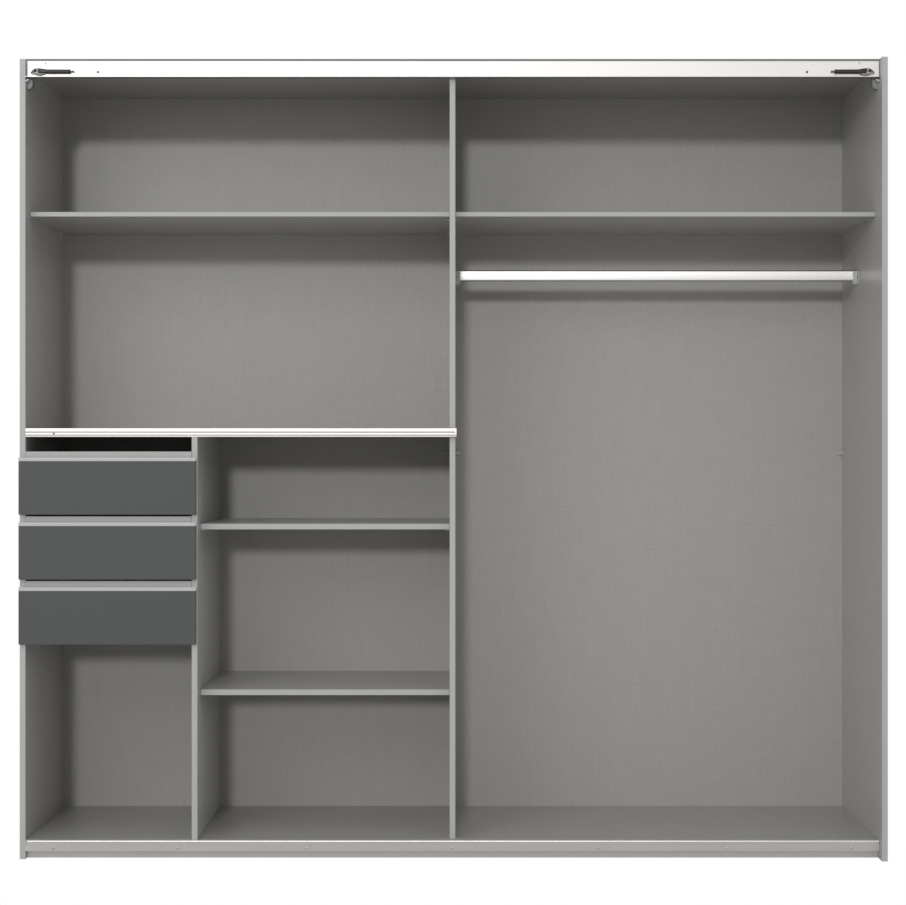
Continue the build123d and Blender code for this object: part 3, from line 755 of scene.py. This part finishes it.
corner_tongues = skinned("corner_block_tongues", tongue_shells)
corner_tongues.data.materials.append(light_plastic)
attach(corner_tongues, "carcass")

pin_plastic = moulded_plastic("pin_plastic", (0.500, 0.497, 0.485), 0.45)
dress(pin_plastic, "shelf_pins", "back_panel_clips")

# ---------------------------------------------------------------- clothes rail
# An oval tube in bright anodised aluminium, 30 mm high and 15 mm wide, laid at each end in a
# moulded U-shaped socket whose flange is screwed to the board.
TUBE_WALL = 0.0015
TUBE_CORNER = 0.004
FLANGE_HIGH = 0.039
FLANGE_WIDE = 0.060
CRADLE_WALL = 0.0025
CRADLE_Z = (1.517, 1.552)
SOCKET_LONG = 0.013


def flat_oval(middle, wide, high, corner):
    """A rectangle in Y and Z with round corners, about a middle."""
    halves = np.array([(1, 1), (-1, 1), (-1, -1), (1, -1)]) * (wide / 2, high / 2)
    return rounded(halves + middle, corner, steps=9)


socket_plastic = moulded_plastic("socket_plastic", (0.52, 0.52, 0.51), 0.4)
tube_high_size = tube_high.z - tube_low.z
tube_wide_size = tube_high.y - tube_low.y
tube_middle = (tube_y, tube_z)
tube_skin = flat_oval(tube_middle, tube_wide_size, tube_high_size, TUBE_CORNER)
tube_bore = flat_oval(
    tube_middle,
    tube_wide_size - 2 * TUBE_WALL,
    tube_high_size - 2 * TUBE_WALL,
    TUBE_CORNER - TUBE_WALL,
)
tube_ends = [tube_low.x, tube_high.x]
tube_rings = np.concatenate([along_x(tube_skin, tube_ends), along_x(tube_bore, tube_ends[::-1])])
rail_tube = skinned("clothes_rail_tube", [tube_rings], looped=True)
rail_tube.data.materials.append(anodised("bright_tube", (0.56, 0.552, 0.54), 0.38, streak=0.03))
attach(rail_tube, "carcass")
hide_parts("clothes_rail")


def drawn_in(outline, amount):
    """An outline moved inwards along its normals by the given amount."""
    return outline - amount * outward_of(outline)


def tube_socket(wall, way):
    """The two shells of a socket: a flange, flat on the wall and rounded at its ends, and a
    U-shaped cradle round the tube's sides and underside, open at the top."""
    flange = flat_oval((tube_y, FLANGE_Z), FLANGE_WIDE, FLANGE_HIGH, FLANGE_HIGH / 2 - 1e-4)
    steps = [(0.0, 0.0), (SOCKET_FLANGE - 0.0006, 0.0), (SOCKET_FLANGE - 0.0002, 0.0002)]
    steps.append((SOCKET_FLANGE, 0.0006))
    plate = np.concatenate(
        [along_x(drawn_in(flange, cut), [wall + way * out]) for out, cut in steps]
    )
    inner = tube_wide_size / 2
    outer = inner + CRADLE_WALL
    bend = np.linspace(np.pi, 2 * np.pi, 17)
    under = np.stack([np.cos(bend) * outer, np.sin(bend) * outer + CRADLE_Z[0] + outer], axis=1)
    corner_bend = np.linspace(0.0, np.pi / 2, 7)
    bed_y = inner - TUBE_CORNER * (1.0 - np.cos(corner_bend))
    bed_z = tube_low.z + TUBE_CORNER * (1.0 - np.sin(corner_bend))
    bed = np.stack([bed_y, bed_z], axis=1)
    rims = np.array([(outer, CRADLE_Z[1]), (inner, CRADLE_Z[1])])
    section = np.concatenate([under, rims, bed, bed[::-1] * (-1, 1), rims[::-1] * (-1, 1)])
    section = section + (tube_y, 0.0)
    reaches = [(SOCKET_FLANGE, 0.0), (SOCKET_LONG - 0.0006, 0.0), (SOCKET_LONG, 0.0005)]
    cradle = np.concatenate(
        [along_x(drawn_in(section, cut), [wall + way * out]) for out, cut in reaches]
    )
    return [plate, cradle]


sockets = skinned(
    "clothes_rail_sockets",
    [
        *tube_socket(tube_low.x - SOCKET_FLANGE, 1),
        *tube_socket(tube_high.x + SOCKET_FLANGE, -1),
    ],
)
sockets.data.materials.append(socket_plastic)
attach(sockets, "carcass")
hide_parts("rail_sockets")

# ---------------------------------------------------------------- drawers
# Each drawer has a graphite front topped by a light U-shaped grip edge, in front of a box of
# light boards with a thin bottom, on steel runners.
GRAPHITE = (0.085, 0.090, 0.089)
LIGHT_GREY = (0.505, 0.502, 0.494)
BOX_GREY = (0.420, 0.416, 0.404)
GRIP_GREY = (0.515, 0.516, 0.518)
GRIP_WALL = 0.0025
GRIP_REAR_WALL = 0.00125

graphite = plain_foil("graphite_foil", GRAPHITE, 0.03, 0.5)
light_foil = plain_foil("light_foil", LIGHT_GREY, 0.03, 0.6)
box_foil = plain_foil("box_foil", BOX_GREY, 0.05, 0.6)
runner_steel = steel("runner_steel", (0.70, 0.70, 0.69), 0.35)
dress(runner_steel, "cabinet_runners")


def grip_finish():
    """Light grey satin lacquer on the grip edge, drawn along its length."""
    material, finish = new_finish("grip_lacquer")
    drawn = mottle(finish, (0.2, 0.0016, 0.0016), detail=2.0)
    surfaced(
        finish,
        drawn.blend(rgba(0.96 * c for c in GRIP_GREY), rgba(1.04 * c for c in GRIP_GREY)),
        roughness=0.35 + drawn * 0.1,
    )
    return material


grip_lacquer = grip_finish()
for level in ("upper", "middle", "lower"):
    drawer = f"drawer_{level}"
    dress(graphite, f"{drawer}_front")
    dress(light_foil, f"{drawer}_box_front")
    dress(box_foil, f"{drawer}_box_sides", f"{drawer}_box_back", f"{drawer}_box_bottom")
    dress(runner_steel, f"{drawer}_runners")
    low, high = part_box(f"{drawer}_grip")
    grip_outline = rounded(
        [
            (low.y, low.z),
            (low.y, high.z),
            (low.y + GRIP_WALL, high.z),
            (low.y + GRIP_WALL, low.z + GRIP_WALL),
            (high.y - GRIP_REAR_WALL, low.z + GRIP_WALL),
            (high.y - GRIP_REAR_WALL, high.z),
            (high.y, high.z),
            (high.y, low.z),
        ],
        [0.0005, 0.0011, 0.0011, 0.0020, 0.0020, 0.0005, 0.0005, 0.0003],
    )
    grip = skinned(f"{drawer}_grip_edge", [along_x(grip_outline, [low.x, high.x])])
    grip.data.materials.append(grip_lacquer)
    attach(grip, drawer)
    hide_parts(f"{drawer}_grip")

# ---------------------------------------------------------------- soft-close dampers
# On the upper rail's face near each end: a black cylinder with its piston rod, held in a light
# moulded head, a thin steel spring leaf bowed below it, and a catch lever that turns on a pin.
DAMPER_Y = -0.2719
DAMPER_Z = 2.046
DAMPER_R = 0.00525
DAMPER_START = 0.9915
BORE_R = 0.00155
BORE_END = 1.0525
CRIMP = (1.0000, 1.0022)
WEDGE_START = 1.0520
WEDGE_END = 1.0750
PIN_PLACE = (1.083, 2.048)
HEAD_FACE = -0.2710
LEVER_FACE = -0.2744
SADDLE_THICK = 0.0008
LEAF_Y = (rail_face - SADDLE_THICK, -0.2705)
SADDLE = [(1.0525, 2.0510), (1.0530, 2.0412), (1.0710, 2.0360), (1.0900, 2.0395), (1.0900, 2.0455)]
SADDLE_RADII = [0.001, 0.001, 0.020, 0.001, 0.001]
HEAD = [(1.0751, 2.0405), (1.0751, 2.0556), (1.0835, 2.0556), (1.0930, 2.0470), (1.0918, 2.0405)]
HEAD_RADII = [0.0006, 0.0012, 0.0060, 0.0030, 0.0012]
LEVER_UPPER = [(1.0812, 2.0525), (1.0862, 2.0520), (1.0912, 2.0480), (1.0950, 2.0426)]
LEVER_HOOK = [(1.0942, 2.0398), (1.0914, 2.0402), (1.0912, 2.0436)]
LEVER_LOWER = [(1.0850, 2.0436), (1.0790, 2.0455), (1.0788, 2.0500)]
LEVER_RADII = [0.0018, 0.002, 0.003, 0.001, 0.0008, 0.0008, 0.0008, 0.002, 0.0018, 0.0018]

dark_plastic = moulded_plastic("dark_plastic", (0.030, 0.029, 0.029), 0.35)
damper_plastic = moulded_plastic("damper_plastic", (0.55, 0.55, 0.54), 0.45)
lever_plastic = moulded_plastic("lever_plastic", (0.100, 0.100, 0.098), 0.4)
spring_steel = steel("spring_steel", (0.060, 0.060, 0.060), 0.45)


def turned(stations, side):
    """Rings round the damper's axis. Each station gives its place along X, how far the section
    reaches up, down and sideways, and how square it is: 1 is an ellipse, less is squarer."""
    place, up, down, half, power = (np.array(column)[:, None] for column in zip(*stations))
    turn = np.linspace(0.0, 2 * np.pi, 32, endpoint=False)[None, :]
    across = np.sign(np.cos(turn)) * abs(np.cos(turn)) ** power
    upright = np.sign(np.sin(turn)) * abs(np.sin(turn)) ** power
    rings = np.empty((len(stations), 32, 3))
    rings[:, :, 0] = place * side
    rings[:, :, 1] = DAMPER_Y + half * across
    rings[:, :, 2] = DAMPER_Z + np.where(upright > 0, up, down) * upright
    return rings


def disc(place, radius):
    """A station of a round section."""
    return (place, radius, radius, radius, 1.0)


def upright_plate(corners, radii, side, back, front, rim):
    """A moulded plate on the rail's face, with an outline in X and Z and soft rims."""
    return moulding(rounded(mirrored(corners, side), radii, steps=7), back, front, rim)


def leaf_outline(side):
    """The spring leaf's outline: a bowed strip that thins towards both ends. Its middle line
    hangs below the chord by a parabola, and its half thickness falls the same way."""
    share = np.linspace(-1.0, 1.0, 25)
    x = 1.0715 + 0.0175 * share
    z = 2.0412 - 0.0044 * (1.0 - share**2) - 0.0006 * share
    half = 0.00035 + 0.00035 * (1.0 - share**2)
    upper = np.stack([x, z + half], axis=1)
    lower = np.stack([x, z - half], axis=1)[::-1]
    return np.concatenate([upper, lower]) * (side, 1.0)


for hand, side in (("left", -1), ("right", 1)):
    barrel = turned(
        [
            disc(BORE_END, BORE_R),
            disc(DAMPER_START + 0.0004, BORE_R),
            disc(DAMPER_START, BORE_R + 0.0005),
            disc(DAMPER_START, DAMPER_R - 0.0008),
            disc(DAMPER_START + 0.0003, DAMPER_R - 0.0003),
            disc(DAMPER_START + 0.0008, DAMPER_R),
            disc(CRIMP[0], DAMPER_R),
            disc(CRIMP[0] + 0.0005, DAMPER_R - 0.0005),
            disc(CRIMP[1] - 0.0005, DAMPER_R - 0.0005),
            disc(CRIMP[1], DAMPER_R),
            disc(WEDGE_START, DAMPER_R),
            (WEDGE_START + 0.003, 0.0056, 0.0050, 0.00525, 0.85),
            (WEDGE_START + 0.010, 0.0070, 0.0038, 0.00525, 0.50),
            (WEDGE_END - 0.0008, 0.0080, 0.0032, 0.00525, 0.35),
            (WEDGE_END, 0.0076, 0.0028, 0.0048, 0.35),
        ],
        side,
    )
    damper_barrel = skinned(f"damper_barrel_{hand}", [barrel])
    damper_barrel.data.materials.append(dark_plastic)
    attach(damper_barrel, "carcass")
    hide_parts(f"damper_cylinder_{hand}")

    saddle_face = rail_face - SADDLE_THICK
    saddle = upright_plate(SADDLE, SADDLE_RADII, side, rail_face, saddle_face, 0.0002)
    head = upright_plate(HEAD, HEAD_RADII, side, saddle_face, HEAD_FACE, 0.0006)
    damper_head = skinned(f"damper_catch_head_{hand}", [head, saddle])
    damper_head.data.materials.append(damper_plastic)
    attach(damper_head, "carcass")
    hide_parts(f"damper_head_{hand}")

    leaf = moulding(leaf_outline(side), LEAF_Y[0], LEAF_Y[1], 0.0001)
    spring_leaf = skinned(f"spring_leaf_{hand}", [leaf])
    spring_leaf.data.materials.append(spring_steel)
    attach(spring_leaf, "carcass")

    rod = turned(
        [
            disc(DAMPER_START + 0.056, 0.0015),
            disc(0.9880, 0.0015),
            disc(0.9875, 0.0019),
            disc(0.9871, 0.0023),
            disc(0.9832, 0.0023),
            disc(0.9823, 0.0019),
            disc(0.9820, 0.0010),
        ],
        side,
    )
    damper_rod = skinned(f"damper_piston_rod_{hand}", [rod])
    damper_rod.data.materials.append(dark_steel)
    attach(damper_rod, f"damper_rod_{hand}")
    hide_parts(f"damper_rod_{hand}")

    lever_corners = [*LEVER_UPPER, *LEVER_HOOK, *LEVER_LOWER]
    lever_back = HEAD_FACE - 0.0004
    lever = upright_plate(lever_corners, LEVER_RADII, side, lever_back, LEVER_FACE, 0.0006)
    catch_lever = skinned(f"catch_lever_arm_{hand}", [lever])
    catch_lever.data.materials.append(lever_plastic)
    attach(catch_lever, f"catch_lever_{hand}")
    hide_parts(f"catch_lever_{hand}")

pin_shells = []
for side in (-1, 1):
    pin_face = (PIN_PLACE[0] * side, LEVER_FACE, PIN_PLACE[1])
    pin_shells.append(screw(pin_face, (0, -1, 0), 0.0052, 0.0036, rail_face - LEVER_FACE))
lever_pins = skinned("lever_pins", pin_shells)
lever_pins.data.materials.append(spring_steel)
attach(lever_pins, "carcass")
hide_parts("damper_pins")
